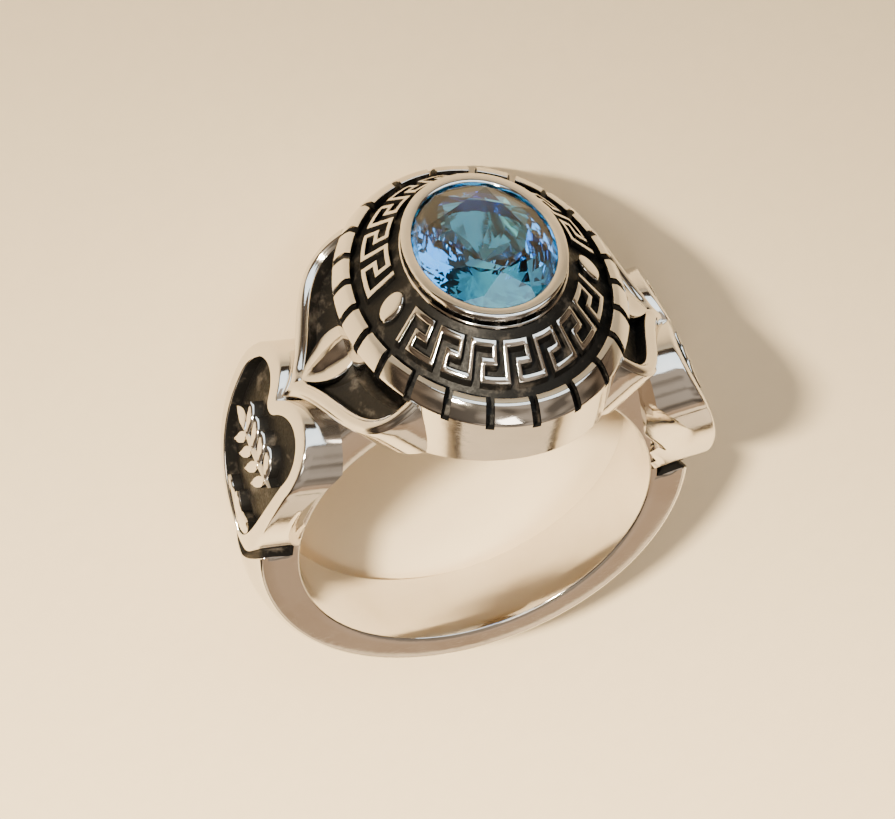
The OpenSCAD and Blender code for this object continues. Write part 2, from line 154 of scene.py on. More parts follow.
class LeafSizes(bpy.types.PropertyGroup):
    """Leaf panels on both shoulders."""

    leaf_w: length("Half width", "Half width of a leaf panel", 6)
    leaf_l: length("Length", "Length of a leaf panel from point to crest", 6.2)
    leaf_out: length("Distance", "Distance of the face from the hole's wall", 4.62)
    leaf_lean: angle("Slope", "Slope of a leaf panel from upright", 47)
    leaf_t: length("Side wall", "Thickness of a leaf panel's side wall", 3)
    wire_w: length("Wire", "Width of the wire round the leaf panel", 0.74)
    leaf_deep: length("Depth", "Depth of the ground inside the wire", 0.8)
    bud_w: length("Bud half width", "Half width of the folded bud", 1.3)
    bud_l: length("Bud length", "Length of the folded bud, whose upper part stands in the crest", 4.2)
    bud_h: length("Bud height", "Height of the bud's ridge above its ground, beside the crest", 1.15)


class RingFinish(bpy.types.PropertyGroup):
    """Colours and polish."""

    silver: colour("Silver", "Colour of the polished silver", (0.76, 0.73, 0.69))
    tarnish: colour("Tarnish", "Colour of the silver's faint warm film", (0.52, 0.44, 0.35))
    polish: FloatProperty(
        name="Polish", description="Roughness of the polished silver", default=0.07, min=0, max=1
    )
    black: colour("Black ground", "Colour of the blackened grounds", (0.006, 0.0055, 0.005))
    worn: colour("Worn ground", "Colour where the black is rubbed thin", (0.07, 0.06, 0.05))
    stone: colour("Stone", "Colour of the stone", (0.08, 0.5, 1.0))
    floor: colour("Floor", "Colour of the floor", (0.82, 0.65, 0.42))


GROUPS = {
    "ring_band": BandSizes,
    "ring_crest": CrestSizes,
    "ring_cup": CupSizes,
    "ring_heart": HeartSizes,
    "ring_leaf": LeafSizes,
    "ring_finish": RingFinish,
}


def sizes():
    """Every size in millimetres or radians, with those that follow from them."""
    m = SimpleNamespace()
    for group in GROUPS:
        held = getattr(bpy.context.scene, group)
        for key, prop in held.bl_rna.properties.items():
            if key not in ("rna_type", "name"):
                value = getattr(held, key)
                setattr(m, key, value / MM if prop.type == "FLOAT" and prop.unit == "LENGTH" else value)
    m.bore_r = m.bore_d / 2
    m.half_w = m.shank_w / 2
    m.edge_r = m.bore_r + m.shank_t + m.shank_swell
    m.back_r = m.bore_r + m.shank_t
    m.crown_r = (m.half_w**2 + m.shank_crown**2) / (2 * m.shank_crown)
    m.rim_z = m.bore_r + m.rim_h
    m.rim_r = m.crest_w / 2
    m.channel_r = m.rim_r - m.rim_w
    m.floor_z = m.rim_z - m.channel_d
    m.seat_z = m.floor_z + m.channel_rise
    m.side_z = m.rim_z - 1.1 * m.rim_w
    m.under_r = m.bore_r + m.head_clear
    m.crest_foot_z = m.bore_r - 0.5
    m.wall_low_z = m.bore_r - 0.4
    m.girdle_r = m.stone_w / 2
    m.collar_r = m.girdle_r + m.collar_wall
    m.foot_r = m.collar_r + 0.05
    m.skirt_r = m.girdle_r + 0.02
    m.lip_z = m.seat_z + m.collar_h
    m.lip_r = m.girdle_r - m.lip_cover
    m.girdle_z = m.lip_z - m.collar_h / 2
    m.skirt_z = m.seat_z - m.skirt_h
    m.window_r = m.window_w / 2
    stand_r = wall_radius(m, m.under_r)
    m.tilt = np.arctan((stand_r * m.oval_ratio - m.half_w) / (m.under_r + m.back_r - m.shank_edge))
    m.rest_z = m.half_w * np.cos(m.tilt) + (m.back_r - m.shank_edge) * np.sin(m.tilt)
    front_y = -(m.collar_r * m.oval_ratio * np.sin(m.tilt) + m.lip_z * np.cos(m.tilt))
    back_y = (m.back_r + m.shank_crown - m.crown_r) * np.cos(m.tilt) + m.crown_r
    m.middle_y = -(front_y + back_y) / 2
    m.heart_face = m.bore_r + m.heart_out
    m.heart_low = -1.9
    m.tip_w = 0.26
    m.lobe_r = 0.28 * m.heart_w
    m.lobe_x = 0.5 * m.heart_w - m.lobe_r
    m.lobe_y = m.heart_low + m.heart_h - m.lobe_r
    m.cleft_y = m.lobe_y + np.sqrt(m.lobe_r**2 - m.lobe_x**2)
    m.heart_chord = m.cleft_y - m.heart_low + 0.5
    m.bulge_r = (m.heart_chord**2 / 4 + m.heart_bulge**2) / (2 * m.heart_bulge)
    m.fall_r = m.heart_w**2 / (8 * m.heart_fall)
    m.leaf_face = m.bore_r + m.leaf_out
    m.leaf_tip = -0.3
    return m


# MESHES


def lie(m, points):
    """The ring's own frame turned on its side and set on the floor, in metres."""
    x, y, z = np.moveaxis(np.asarray(points, float), -1, 0)
    s, c = np.sin(m.tilt), np.cos(m.tilt)
    return MM * np.stack([-x, -s * y - c * z + m.middle_y, -c * y + s * z + m.rest_z], -1)


def oval(m, r, turn, z):
    """Round place at radius r and angle turn, stretched along the finger to the oval."""
    r, turn, z = np.broadcast_arrays(r, turn, z)
    return np.stack([r * np.cos(turn), m.oval_ratio * r * np.sin(turn), z], -1)


def mix(a, b, share):
    """Straight line from a to b."""
    return a + (b - a) * share


def bend(a, b, c, t):
    """Curve from a to c that leaves and arrives along the lines to b."""
    return (1 - t) ** 2 * a + 2 * t * (1 - t) * b + t**2 * c


def left_of(run):
    """Left-hand unit normals of the steps of a path."""
    return np.stack([-run[:, 1], run[:, 0]], -1) / np.linalg.norm(run, axis=1, keepdims=True)


def shell(points, ends, paint):
    """Faces of a grid whose second index runs round a closed loop.

    ends is wrap where the rows close on themselves, cap where the two end loops are
    filled, or pole where each end row is one point. paint gives each face's material.
    """
    rows, cols = points.shape[:2]
    number = np.arange(rows * cols).reshape(rows, cols)
    if ends == "pole":
        number[0] = 0
        number[-1] = rows * cols - 1
    low = number if ends == "wrap" else number[:-1]
    high = np.roll(number, -1, 0) if ends == "wrap" else number[1:]
    quads = np.stack([low, np.roll(low, -1, 1), np.roll(high, -1, 1), high], -1)
    paint = np.broadcast_to(paint, quads.shape[:2])
    faces = []
    paints = []
    for k in range(len(quads)):
        row = quads[k]
        if ends == "pole" and k == 0:
            row = row[:, [0, 2, 3]]
        if ends == "pole" and k == len(quads) - 1:
            row = row[:, [0, 1, 2]]
        faces += row.tolist()
        paints += paint[k].tolist()
    if ends == "cap":
        faces += [number[0, ::-1].tolist(), number[-1].tolist()]
        paints += [int(paint[0, 0]), int(paint[-1, 0])]
    return points.reshape(-1, 3), faces, paints


def outwards(points, faces):
    """Turns every face round if the shell's volume, summed over its fans, is negative."""
    volume = 0.0
    by_count = {}
    for face in faces:
        by_count.setdefault(len(face), []).append(face)
    for count, group in by_count.items():
        corner = points[np.array(group)]
        for k in range(1, count - 1):
            volume += np.einsum("ij,ij->", corner[:, 0], np.cross(corner[:, k], corner[:, k + 1]))
    return faces if volume > 0 else [face[::-1] for face in faces]


def new_object(name, data):
    """An object in the scene from its mesh, camera or lamp."""
    made = bpy.data.objects.new(name, data)
    bpy.context.scene.collection.objects.link(made)
    return made


def piece(m, name, shells, materials, sharp=38, body="root"):
    """One object from closed shells: placed, merged, smooth but for its sharp edges."""
    verts, faces, paints = [], [], []
    start = 0
    for points, shell_faces, shell_paint in shells:
        placed = lie(m, points)
        turned = outwards(placed - placed.mean(0), shell_faces)
        verts.append(placed)
        faces += [[i + start for i in face] for face in turned]
        paints += shell_paint
        start += len(placed)
    mesh = bpy.data.meshes.new(name)
    mesh.from_pydata(np.concatenate(verts), [], faces)
    mesh.polygons.foreach_set("material_index", paints)
    mesh.validate()
    drop_loose(mesh)
    mesh.shade_smooth()
    mesh.set_sharp_from_angle(angle=np.radians(sharp))
    for material in materials:
        mesh.materials.append(material)
    made = new_object(name, mesh)
    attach(made, body)
    return made


def drop_loose(mesh):
    """Removes the vertices that no face uses, which a pole's row leaves over."""
    bm = bmesh.new()
    bm.from_mesh(mesh)
    bmesh.ops.delete(bm, geom=[v for v in bm.verts if not v.link_faces], context="VERTS")
    bm.to_mesh(mesh)
    bm.free()


# FINISHES


class Nodes:
    """Short way to add and link shader nodes in one tree."""

    def __init__(self, tree):
        self.tree = tree
        tree.nodes.clear()

    def add(self, kind, inputs=None, **settings):
        node = self.tree.nodes.new(kind)
        for key, value in settings.items():
            setattr(node, key, value)
        for key, value in (inputs or {}).items():
            if isinstance(value, bpy.types.NodeSocket):
                self.tree.links.new(value, node.inputs[key])
            else:
                node.inputs[key].default_value = value
        return node

    def noise(self, place, scale, detail=2.0, rough=0.5):
        """Smooth noise read at an object coordinate; scale is in features per metre."""
        return self.add(
            "ShaderNodeTexNoise",
            {"Vector": place, "Scale": scale, "Detail": detail, "Roughness": rough},
        ).outputs["Fac"]

    def ramp(self, value, low, high, out_low=0.0, out_high=1.0):
        """Maps a value from low..high to out_low..out_high."""
        return self.add(
            "ShaderNodeMapRange",
            {"Value": value, "From Min": low, "From Max": high, "To Min": out_low, "To Max": out_high},
        ).outputs["Result"]

    def blend(self, share, first, second):
        """Mixes two colours by a share."""
        node = self.add("ShaderNodeMix", data_type="RGBA")
        self.tree.links.new(share, node.inputs["Factor"])
        for key, value in (("A", first), ("B", second)):
            socket = [s for s in node.inputs if s.name == key and s.type == "RGBA"][0]
            if isinstance(value, bpy.types.NodeSocket):
                self.tree.links.new(value, socket)
            else:
                socket.default_value = value
        return [s for s in node.outputs if s.type == "RGBA"][0]

    def bump(self, height, strength, distance):
        """Bump of a height, with distance in metres."""
        return self.add(
            "ShaderNodeBump", {"Height": height, "Strength": strength, "Distance": distance}
        ).outputs["Normal"]


def rgba(rgb):
    return (*rgb, 1.0)


def finish(name, inputs):
    """The material of that name; the first time its shader takes what inputs(nodes, place) gives."""
    material = bpy.data.materials.get(name)
    if material is None:
        material = bpy.data.materials.new(name)
        material.use_nodes = True
        nodes = Nodes(material.node_tree)
        place = nodes.add("ShaderNodeTexCoord").outputs["Object"]
        shader = nodes.add("ShaderNodeBsdfPrincipled", inputs(nodes, place))
        nodes.add("ShaderNodeOutputMaterial", {"Surface": shader.outputs[0]})
    return material


def polished_silver(m):
    """Polished silver: faint warm film, smudges in the polish, hair scratches and soft waves."""

    def inputs(nodes, place):
        film = nodes.ramp(nodes.noise(place, 260, 4), 0.45, 0.75, 0.0, 0.35)
        base = nodes.blend(film, rgba(m.silver), rgba(m.tarnish))
        smudge = nodes.noise(place, 700, 5)
        rough = nodes.ramp(smudge, 0.3, 0.75, m.polish * 0.7, m.polish * 1.8)
        turned = {"Vector": place, "Rotation": (0.3, 0.5, 0.2), "Scale": (1.0, 9.0, 1.0)}
        stretched = nodes.add("ShaderNodeMapping", turned).outputs["Vector"]
        scratches = nodes.ramp(nodes.noise(stretched, 2200, 3), 0.55, 0.7)
        waves = nodes.noise(place, 900, 2)
        height = nodes.add("ShaderNodeMath", {0: scratches, 1: 0.08}, operation="MULTIPLY").outputs[0]
        height = nodes.add("ShaderNodeMath", {0: height, 1: waves}, operation="ADD").outputs[0]
        normal = nodes.bump(height, 0.25, 0.00002)
        return {"Base Color": base, "Metallic": 1.0, "Roughness": rough, "Normal": normal}

    return finish("polished_silver", inputs)


def black_ground(m):
    """Blackened ground: matt and grainy, rubbed to grey in patches."""

    def inputs(nodes, place):
        patches = nodes.ramp(nodes.noise(place, 900, 4, 0.7), 0.55, 0.75)
        grain = nodes.noise(place, 6500, 3, 0.7)
        return {
            "Base Color": nodes.blend(patches, rgba(m.black), rgba(m.worn)),
            "Metallic": 0.0,
            "Specular IOR Level": 0.15,
            "Roughness": nodes.ramp(grain, 0.3, 0.7, 0.34, 0.62),
            "Normal": nodes.bump(grain, 0.5, 0.00003),
        }

    return finish("black_ground", inputs)


def blue_glass(m):
    """Clear blue stone: its depth of colour drifts a little from place to place."""

    def inputs(nodes, place):
        drift = nodes.noise(place, 350, 2)
        deep = rgba([c * k for c, k in zip(m.stone, (0.3, 0.6, 0.9))])
        base = nodes.blend(nodes.ramp(drift, 0.35, 0.65), rgba(m.stone), deep)
        return {"Base Color": base, "Roughness": 0.0, "IOR": 1.65, "Transmission Weight": 1.0}

    return finish("blue_stone", inputs)


def pale_floor(m):
    """Plain pale floor with a hardly visible grain."""

    def inputs(nodes, place):
        grain = nodes.noise(place, 900, 4)
        lighter = rgba([min(1.0, c * 1.06) for c in m.floor])
        base = nodes.blend(grain, rgba(m.floor), lighter)
        return {"Base Color": base, "Roughness": 0.9, "Normal": nodes.bump(grain, 0.2, 0.0001)}

    return finish("pale_floor", inputs)


# BAND


def hole_radius(m, along, sunk):
    """Radius of the finger hole at a place along the finger.

    It is the bore within the band's width and flares out straight beyond it, up to the
    undersides. Within the width it rises by sunk, so that a surface on it hides in the band.
    """
    beyond = np.abs(along) - m.half_w
    flare = m.bore_r + np.clip(beyond * np.tan(m.flare_angle), 0, m.head_clear)
    return flare + sunk * np.clip(-beyond / 0.4, 0, 1)


def band_section(m, inset):
    """Closed section of the band as columns place along the finger, radius and shift.

    Straight inside, small rounding, straight side, larger rounding, then the outside as
    an arc of crown_r. inset draws side and outside inwards, above a lip beside the bore.
    """
    side = m.half_w - inset
    outer = m.edge_r + m.shank_crown
    quarter = np.radians(np.linspace(0, 90, 4))
    fillet = m.bore_edge
    bore = m.bore_r
    lower = np.stack([
        m.half_w - fillet + fillet * np.sin(quarter),
        bore + fillet - fillet * np.cos(quarter),
    ], -1)
    crown_y = side - 1.3 * m.shank_edge
    lip = 0.35

    def crown(y):
        return outer - m.crown_r + np.sqrt((m.crown_r - inset) ** 2 - y**2)

    start = np.array([side, crown(side) - 1.1 * m.shank_edge])
    corner = np.array([side, crown(side)])
    end = np.array([crown_y, crown(crown_y)])
    t = np.linspace(0, 1, 6)[:, None]
    rounding = bend(start, corner, end, t)
    across = np.linspace(crown_y, 0, 8)[1:]
    arc = np.stack([across, crown(across)], -1)
    middle = mix(lower[-1], start, np.array([[0.33], [0.67]]))
    if inset:
        middle = np.array([[m.half_w, bore + lip], [side, bore + lip]])
    inside = np.array([[0.0, bore], [m.half_w / 2, bore]])
    half = np.concatenate([inside, lower, middle, rounding, arc])
    mirrored = half[-2:0:-1] * [-1, 1]
    loop = np.concatenate([half, mirrored])
    shift = m.shank_swell * np.clip((loop[:, 1] - m.bore_r) / m.shank_t, 0, 1)
    return np.column_stack([loop, shift])


def heart_edge_height(m, along):
    """Height of a heart's lower outline at a place along the finger, from its own curve."""
    side = heart_side(m, np.linspace(0, 1, 60))[::-1]
    return np.interp(np.abs(along), side[:, 0], side[:, 1])


# The band ends inside the crest, at this distance from the ring's middle plane.
BAND_END = 5.0
# A face is blackened where the groove moves it further and is deeper than these.
BLACK_MOVE = 0.36
BLACK_DEPTH = 0.3


def band(m):
    """Band as its section carried round the finger, with a V groove below each heart.

    Each row's angle is bent so that the groove's edges follow the heart's pointed outline.
    The section shrinks to the inset one in the groove and stays so below the heart's tip.
    """
    plain = band_section(m, 0)
    deep = band_section(m, m.groove_d)
    low_v = heart_edge_height(m, plain[:, 0]) - m.groove_h
    high_v = heart_edge_height(m, plain[:, 0])
    outer = m.edge_r + m.shank_crown

    def reach(v):
        return m.heart_lean + np.arccos(-(v - m.shank_swell * np.cos(m.heart_lean)) / outer)

    low = reach(low_v)
    high = np.maximum(reach(high_v), low + 0.03)
    end = np.pi - np.arcsin(BAND_END / m.bore_r)
    knots = [
        # angle, number of steps to it, depth there
        (np.zeros_like(low), 0, 0.0),
        (low, 60, 0.0),
        (low + 0.004, 1, 0.08),
        (low + 0.009, 1, 0.92),
        (low + 0.014, 1, 1.0),
        (high + 0.03, 6, 1.0),
        (high + 0.28, 3, 1.0),
        (high + 0.38, 2, 0.0),
        (np.full_like(low, end), 22, 0.0),
    ]
    turn, depth = [knots[0][0]], [0.0]
    for (from_turn, _, from_depth), (to_turn, steps, to_depth) in zip(knots, knots[1:]):
        for k in range(1, steps + 1):
            turn.append(mix(from_turn, to_turn, k / steps))
            depth.append(mix(from_depth, to_depth, k / steps))
    turn = np.array(turn)
    depth = np.array(depth)
    turn = np.concatenate([-turn[:0:-1], turn])
    depth = np.concatenate([depth[:0:-1], depth])
    section = mix(plain[None], deep[None], depth[:, None, None])
    y, r, shift = np.moveaxis(section, -1, 0)
    points = np.stack([r * np.sin(turn), y, shift - r * np.cos(turn)], -1)
    touched = np.abs(plain[:, :2] - deep[:, :2]).sum(1) > BLACK_MOVE
    sunk = (depth[:-1] + depth[1:]) / 2 > BLACK_DEPTH
    return shell(points, "cap", np.where(sunk[:, None] & touched[None], BLACK, SILVER))


# CREST


# Columns of a notch as place across it in half widths, depth; and shares of the block after it.
NOTCH = np.array([[-1, 0.0], [-0.94, 0.12], [-0.9, 1], [0, 1], [0.9, 1], [0.94, 0.12], [1, 0.0]])
BLOCK = np.array([0.03, 0.1, 0.2, 0.3, 0.4, 0.5, 0.6, 0.7, 0.8, 0.9, 0.97])


def notch_turns(m, radius, width):
    """Real angles of all columns for rows of that radius and notch width, and their depth."""
    centre = np.pi / 2 + np.arange(m.notch_n) * 2 * np.pi / m.notch_n
    after = np.roll(centre, -1)
    after[-1] += 2 * np.pi

    def half_angle(middle):
        flat = np.arctan2(np.sin(middle) / m.oval_ratio, np.cos(middle))
        real = radius[:, None] * np.hypot(np.cos(flat), m.oval_ratio * np.sin(flat))
        return np.arcsin(np.clip(width[:, None] / 2 / real, 0, 0.5))

    here, there = half_angle(centre), half_angle(after)
    across = centre[None, :, None] + here[..., None] * NOTCH[:, 0]
    right = (centre + here)[..., None]
    left = (after - there)[..., None]
    blocks = mix(right, left, BLOCK)
    turns = np.concatenate([across, blocks], -1).reshape(len(radius), -1)
    depth = np.tile(np.concatenate([NOTCH[:, 1], np.zeros(len(BLOCK))]), m.notch_n)
    return np.arctan2(np.sin(turns) / m.oval_ratio, np.cos(turns)), depth


def wall_radius(m, z):
    """Radius of the crest's wall at a height: a straight lean from the rim to its foot."""
    return m.rim_r - m.wall_lean * (m.side_z - z) / (m.side_z - m.crest_foot_z)


def wall_foot(m, turn):
    """Height where the crest's wall meets the flared hole, found by stepping towards it."""
    z = np.full_like(turn, m.bore_r + m.head_clear)
    for _ in range(12):
        r = wall_radius(m, z)
        rho = hole_radius(m, m.oval_ratio * r * np.sin(turn), 0)
        z = 0.5 * z + 0.5 * np.sqrt(np.clip(rho**2 - (r * np.cos(turn)) ** 2, 1, None))
        z = np.maximum(z, m.wall_low_z)
    return z


def rim_profile(m):
    """Rows of the rim as radius, height: up the wall, a bevel, flat top, channel wall."""
    start = m.rim_z - m.notch_drop
    z = np.concatenate([[start], np.linspace(start + 0.02, m.side_z, 8)])
    wall = np.stack([wall_radius(m, z), z], -1)
    t = np.linspace(0, 1, 9)[1:, None]
    edge = np.array([m.rim_r, m.side_z])
    corner = np.array([m.channel_r + 0.72 * m.rim_w, m.rim_z - 0.42 * m.rim_w])
    flat = np.array([m.channel_r + 0.34 * m.rim_w, m.rim_z - 0.05])
    shoulder = bend(edge, corner, flat, t)
    fillet = 0.05
    top = mix(flat, np.array([m.channel_r + fillet, m.rim_z]), np.array([[0.2], [0.6], [1.0]]))
    turn = np.radians([30, 60, 90])
    inner = np.stack([
        m.channel_r + fillet - fillet * np.sin(turn),
        m.rim_z - fillet + fillet * np.cos(turn),
    ], -1)
    down = np.array([[m.channel_r, mix(m.rim_z, m.floor_z, s)] for s in (0.35, 0.7, 1.0)])
    return np.concatenate([wall, shoulder, top, inner, down])


def head(m):
    """Crest as one closed profile carried round the oval.

    It runs from the foot up the wall, over the notched rim, down to the channel's floor,
    up to the collar, down the hole for the cup and back along the underside. In a notch
    the rim's rows sink to a line from the wall's foot of the notch to the channel.
    """
    rim = rim_profile(m)
    gap = m.fit_gap
    run = np.linspace(0, 1, len(rim))
    bite = 0.28
    notch_foot = np.array([m.rim_r - bite, rim[0, 1]])
    inner_floor = np.array([m.channel_r + bite, m.floor_z - bite / 2])
    line = zip(notch_foot, inner_floor, rim[-1])
    deep = np.array([np.interp(run, [0, 0.75, 1], places) for places in line]).T
    width = np.full(len(rim), m.notch_w)
    # from hide_x outwards the underside rises by hide, behind the band's inner wall
    hide_x, hide_run, hide = 4.75, 0.1, 0.03
    flat_rows = np.array([
        [m.foot_r - 0.2, m.seat_z],
        [m.skirt_r + gap, m.seat_z],
        [m.skirt_r + gap, m.skirt_z - gap],
        [m.window_r, m.skirt_z - gap],
    ])
    low_steps = np.linspace(0, 1, 11)[:-1]
    under_steps = np.linspace(0, 1, 19)[1:-1]

    base_turn, depth = notch_turns(m, np.array([m.rim_r]), width[:1])
    base_turn = base_turn[0]
    foot = wall_foot(m, base_turn)
    rows = []
    for share in low_steps:
        z = mix(foot, rim[0, 1], share)
        rows.append(oval(m, wall_radius(m, z), base_turn, z))
    turns, _ = notch_turns(m, rim[:, 0], width)
    sink = depth[None] * (run > 0)[:, None]
    r = mix(rim[:, :1], deep[:, :1], sink)
    z = mix(rim[:, 1:], deep[:, 1:], sink)
    rows += list(oval(m, r, turns, z))
    last_turn = turns[-1]
    for radius, height in flat_rows:
        rows.append(oval(m, np.full_like(last_turn, radius), last_turn, height))
    foot_r = wall_radius(m, foot)
    for share in [0.0, *under_steps]:
        r = mix(m.window_r, foot_r, share)
        x, y = r * np.cos(base_turn), m.oval_ratio * r * np.sin(base_turn)
        lift = hide * np.clip((np.abs(x) - hide_x) / hide_run, 0, 1)
        rho = hole_radius(m, y, 0) + lift
        z = np.sqrt(np.clip(rho**2 - x**2, 1, None))
        rows.append(np.stack([x, y, np.maximum(z, m.wall_low_z - 3 * (1 - share))], -1))
    points = np.array(rows)
    count = len(low_steps)
    paint = np.zeros(points.shape[:2], int)
    beside = np.maximum(depth, np.roll(depth, -1)) > 0.9
    paint[count : count + len(rim) - 1][:, beside] = BLACK
    paint[count + len(rim) - 4 : count + len(rim)] = BLACK
    return shell(points, "wrap", paint)


def floor_height(m, r):
    """Height of the channel's floor at a radius: a straight rise from rim to collar."""
    return m.floor_z + m.channel_rise * (m.channel_r - r) / (m.channel_r - m.foot_r)


def channel_ground(m):
    """Thin black layer on the channel's floor, closed underneath."""
    turn = np.linspace(0, 2 * np.pi, 361)[:-1]
    radii = np.linspace(m.channel_r + 0.04, m.foot_r - 0.1, 12)
    top = [oval(m, r, turn, floor_height(m, r) + 0.03) for r in radii]
    bottom = [oval(m, r, turn, floor_height(m, r) - 0.05) for r in radii[::-1]]
    return shell(np.array(top + bottom), "wrap", SILVER)


# Running key: one key's path on a square grid, its length, its rows and half the stroke.
KEY_PATH = np.array([[0, 0], [0, 4], [4, 4], [4, 2], [2, 2], [2, 0]], float)
KEY_STEP = 6
KEY_ROWS = 5
HALF_STROKE = 0.36


def key_run(count):
    """Running key as a path on a square grid, cut into half steps."""
    corners = np.concatenate([KEY_PATH + [k * KEY_STEP, 0] for k in range(count)])
    corners = np.concatenate([corners, [[count * KEY_STEP, 0], [count * KEY_STEP, 4]]])
    spans = np.abs(np.diff(corners, axis=0)).sum(1)
    along = np.concatenate([[0], np.cumsum(spans)])
    places = np.arange(0, along[-1] + 0.25, 0.5)
    return np.stack([np.interp(places, along, corners[:, k]) for k in (0, 1)], -1)


def mitre(path):
    """Left-hand normals of an open path, lengthened at its corners so that offsets stay parallel."""
    left = left_of(np.diff(path, axis=0))
    ahead = np.concatenate([left, left[-1:]])
    behind = np.concatenate([left[:1], left])
    return (ahead + behind) / (1 + (ahead * behind).sum(1, keepdims=True))


def meander(m, count, start, end):
    """One arc of running key: a flat-topped stroke carried along the key's path."""
    path = key_run(count)
    normal = mitre(path)
    half = HALF_STROKE
    top = m.relief_h
    round_off = 0.1
    section = np.array([
        # place across the stroke, height
        [-half, -0.05], [-half, top - 0.05], [-half + 0.3 * round_off, top - 0.015],
        [-half + round_off, top], [half - round_off, top],
        [half - 0.3 * round_off, top - 0.015], [half, top - 0.05], [half, -0.05],
    ])
    grid = path[:, None] + normal[:, None] * section[None, :, :1]
    grid[0, :, 1] -= half
    grid[-1, :, 1] += half
    steps = count * KEY_STEP
    turn = start + (end - start) * (grid[..., 0] + half) / (steps + 2 * half)
    inner = m.foot_r + m.channel_margin
    outer = m.channel_r - m.channel_margin
    r = inner + (outer - inner) * (grid[..., 1] + half) / (KEY_ROWS - 1 + 2 * half)
    points = oval(m, r, turn, floor_height(m, r) + section[:, 1])
    return shell(points, "cap", np.array([BLACK] + [SILVER] * 5 + [BLACK] * 2))


def stud(m, turn):
    """Round stud with a rounded edge and a hardly domed top, as circles from its foot to its middle."""
    middle = oval(m, (m.foot_r + m.channel_r) / 2, turn, 0)[:2]
    rim = m.stud_d / 2
    top = m.relief_h
    rows = np.array([
        # radius as a share, height
        [0.0, -0.1], [1.0, -0.1], [1.0, top - 0.2], [0.98, top - 0.11], [0.92, top - 0.04],
        [0.84, top - 0.005], [0.7, top + 0.015], [0.4, top + 0.025], [0.0, top + 0.03],
    ])
    around = np.linspace(0, 2 * np.pi, 49)[:-1]
    x = middle[0] + rim * rows[:, :1] * np.cos(around)
    y = middle[1] + rim * rows[:, :1] * np.sin(around)
    z = floor_height(m, np.hypot(x, y / m.oval_ratio)) + rows[:, 1:]
    return shell(np.stack([x, y, z], -1), "pole", np.array([BLACK, BLACK] + [SILVER] * 6)[:, None])


# CUP AND STONE


def collar(m):
    """Bezel cup as its section carried round the oval: skirt, foot, wall, rounded lip, seat."""
    seat_in = 0.75
    throat = m.girdle_r - seat_in
    slope = m.pavilion_h / m.girdle_r
    lip = np.radians(np.linspace(0, 180, 15))[:, None]
    middle = (m.collar_r + m.lip_r) / 2
    half = (m.collar_r - m.lip_r) / 2
    rise = 0.11
    lip_curve = np.concatenate([middle + half * np.cos(lip), m.lip_z - rise + rise * np.sin(lip)], 1)
    h = m.collar_h
    profile = np.concatenate([
        [
            [throat, m.skirt_z], [m.skirt_r, m.skirt_z], [m.skirt_r, m.seat_z],
            [m.foot_r - 0.03, m.seat_z], [m.foot_r, m.seat_z + 0.03], [m.foot_r, m.seat_z + 0.18 * h],
            [m.foot_r - 0.02, m.seat_z + 0.22 * h], [m.collar_r, m.seat_z + 0.25 * h],
            [m.collar_r, m.seat_z + 0.5 * h],
        ],
        lip_curve,
        [
            [m.lip_r, m.lip_z - 0.14],
            [m.girdle_r + m.fit_gap, m.girdle_z + m.girdle_t + 2 * m.fit_gap],
            [m.girdle_r + m.fit_gap, m.girdle_z - 2 * m.fit_gap],
            [throat, m.girdle_z - 2 * m.fit_gap - seat_in * slope],
        ],
    ])
    turn = np.linspace(0, 2 * np.pi, 241)[:-1]
    points = oval(m, profile[:, :1], turn[None], profile[:, 1:])
    return shell(points, "wrap", SILVER)


def brilliant(m):
    """Oval brilliant: table, star, kite and girdle facets above, five staggered tiers below."""
    n = 8
    fine = 2 * n
    table_r = m.table_w / 2
    top = m.girdle_z + m.girdle_t
    table_z = top + m.crown_h
    culet_z = m.girdle_z - m.pavilion_h
    kite_r = 0.5 * (table_r + m.girdle_r) + 0.2
    kite_z = table_z + (top - table_z) * (kite_r * np.cos(np.pi / n) - table_r) / (m.girdle_r - table_r)

    def ring(count, r, z, offset):
        turn = (np.arange(count) + offset) * 2 * np.pi / count
        return oval(m, r, turn, z)

    def tier(r_share, drop_share, offset):
        return ring(fine, r_share * m.girdle_r, m.girdle_z - drop_share * m.pavilion_h, offset)

    points = np.concatenate([
        ring(n, table_r, table_z, 0),
        ring(n, kite_r, kite_z, 0.5),
        ring(fine, m.girdle_r, top, 0),
        ring(fine, m.girdle_r, m.girdle_z, 0),
        tier(0.86, 0.2, 0.5),
        tier(0.69, 0.38, 0),
        tier(0.5, 0.56, 0.5),
        tier(0.27, 0.77, 0),
        [[0, 0, culet_z]],
    ])
    crown, high, low = n, 2 * n, 2 * n + fine
    tiers = [low + k * fine for k in range(5)]
    culet = tiers[-1] + fine
    i = np.arange(n)
    j = np.arange(fine)
    after = (j + 1) % fine
    faces = [np.arange(n)[::-1].tolist()]
    for group in (
        [i, (i + 1) % n, crown + i],
        [i, crown + i, high + 2 * i],
        [(i + 1) % n, high + (2 * i + 2) % fine, crown + i],
        [crown + i, high + 2 * i + 1, high + 2 * i],
        [crown + i, high + (2 * i + 2) % fine, high + 2 * i + 1],
        [high + j, high + after, low + after, low + j],
        [tiers[-1] + j, tiers[-1] + after, np.full(fine, culet)],
    ):
        faces += np.stack(group, -1).tolist()
    for k in range(4):
        upper, lower = tiers[k], tiers[k + 1]
        # a tier set half a step on meets the one above it between two of its points
        near, far = (j, after) if k % 2 == 0 else (after, j)
        faces += np.stack([upper + j, upper + after, lower + near], -1).tolist()
        if k % 2 == 0:
            faces += np.stack([lower + near, upper + after, lower + far], -1).tolist()
        else:
            faces += np.stack([lower + far, upper + j, lower + near], -1).tolist()
    return points, faces, [SILVER] * len(faces)


